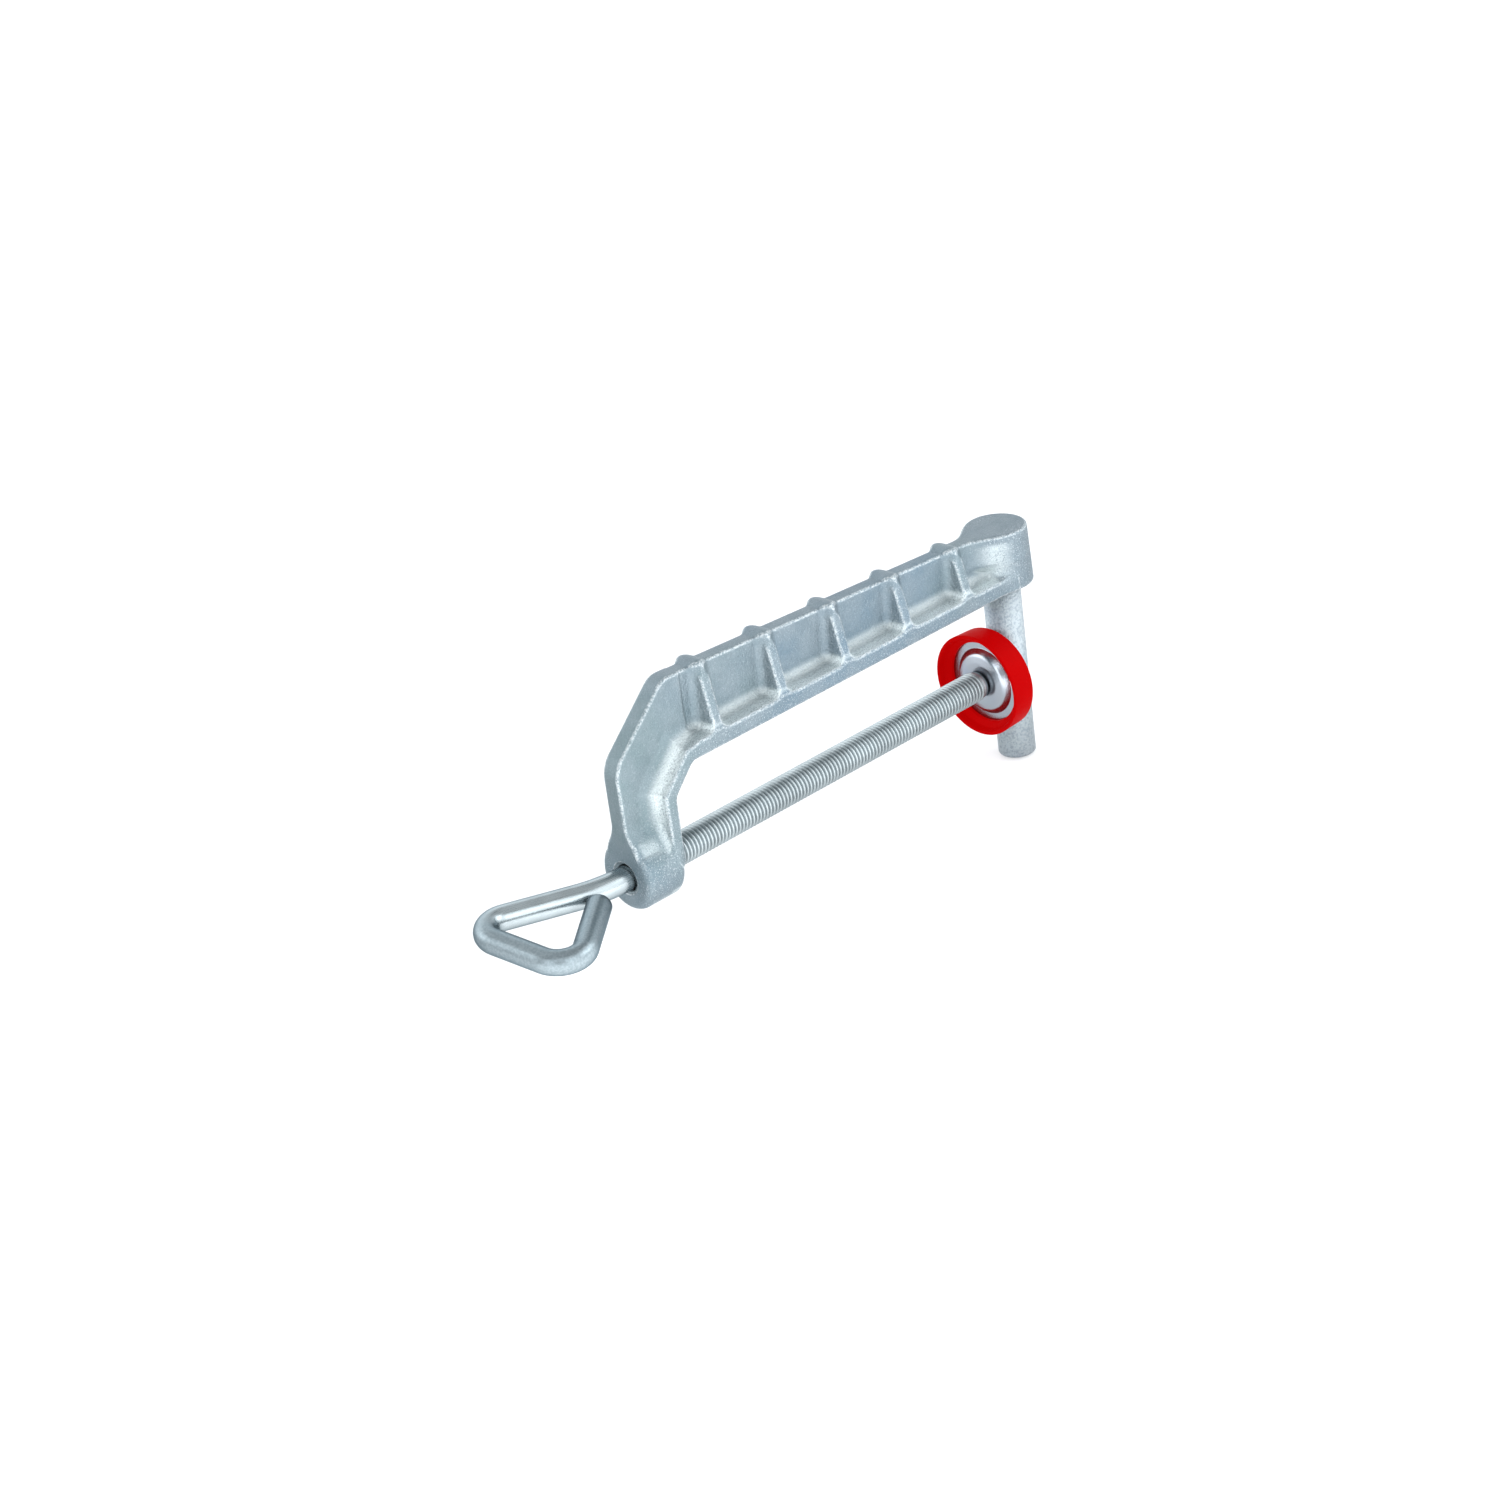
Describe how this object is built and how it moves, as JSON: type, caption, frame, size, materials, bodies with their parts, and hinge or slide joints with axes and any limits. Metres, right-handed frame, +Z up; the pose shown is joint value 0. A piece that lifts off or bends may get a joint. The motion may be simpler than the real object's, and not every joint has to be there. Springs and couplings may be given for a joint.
{
  "type": "beam clamp",
  "caption": "C-shaped screw clamp: ribbed cast arm with a long pin, threaded spindle with a bent-bar handle, and a swivelling foot in a soft plastic cap.",
  "frame": {"origin": "where the locating pin's axis crosses the spindle's axis", "axes": "+X along the spindle towards the pin, +Z up along the pin towards the arm, the arm symmetric about the XZ plane"},
  "size_m": [0.28, 0.0511, 0.106],
  "materials": {
    "cast_zinc_plated": "bright zinc plated casting, fine orange-peel surface",
    "pin_steel": "smooth drawn steel, bright zinc plated",
    "spindle_steel": "rolled thread and bent bar, bright zinc plated",
    "ring_steel": "phosphated spring steel",
    "plate_steel": "pressed sheet steel, bright zinc plated",
    "red_plastic": "satin moulded soft plastic, slightly translucent"
  },
  "bodies": {
    "arm": {"clamp_arm": "cast_zinc_plated", "locating_pin": "pin_steel"},
    "carrier": {"retaining_ring": "ring_steel"},
    "spindle": {"spindle": "spindle_steel"},
    "foot": {"swivel_plate": "plate_steel", "protective_cap": "red_plastic"}
  },
  "joints": [
    {"name": "spindle_travel", "type": "slide", "parent": "arm", "child": "carrier", "axis": [1, 0, 0], "range_m": [-0.163, 0]},
    {"name": "spindle_turn", "type": "hinge", "parent": "carrier", "child": "spindle", "pos_m": [-0.1, 0, 0], "axis": [1, 0, 0], "range_deg": [-33531.4, 0]},
    {"name": "foot_tilt", "type": "hinge", "parent": "carrier", "child": "foot", "pos_m": [-0.0165, 0, 0], "axis": [0, 0, 1], "range_deg": [-4, 4]}
  ],
  "couplings": [
    {"joint": "spindle_travel", "follows": "spindle_turn", "m_per_rad": 0.00027852}
  ]
}
